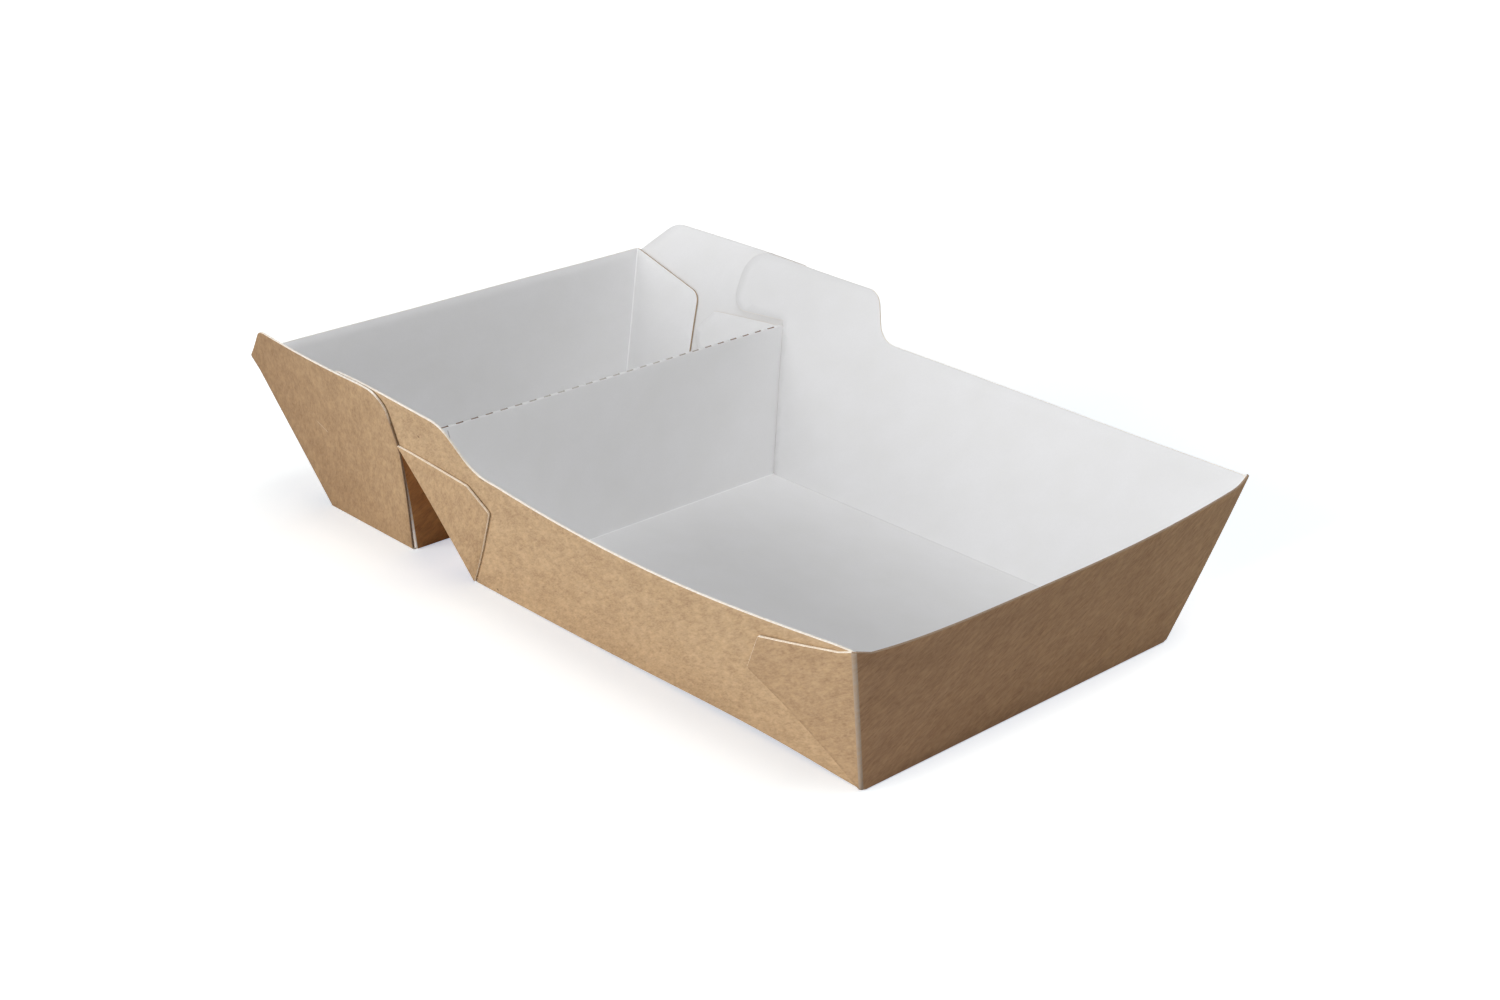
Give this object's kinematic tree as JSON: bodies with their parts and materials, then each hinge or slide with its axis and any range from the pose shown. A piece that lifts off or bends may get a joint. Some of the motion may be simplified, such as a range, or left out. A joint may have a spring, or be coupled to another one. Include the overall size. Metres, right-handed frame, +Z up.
{
  "type": "fries tray",
  "caption": "Folded kraft board tray with a large compartment for fries and a small dip compartment behind an open V-shaped divider.",
  "frame": {"origin": "on the table under the middle of the tray's bounding box, which lies on the underside of the large floor", "axes": "+X towards the front wall of the large compartment, +Y across the tray, +Z up"},
  "size_m": [0.2232, 0.1394, 0.0543],
  "materials": {
    "kraft_board": "uncoated brown kraft outside, matt white inside, cream cut edges"
  },
  "bodies": {
    "root": {"tray": "kraft_board"}
  },
  "joints": []
}
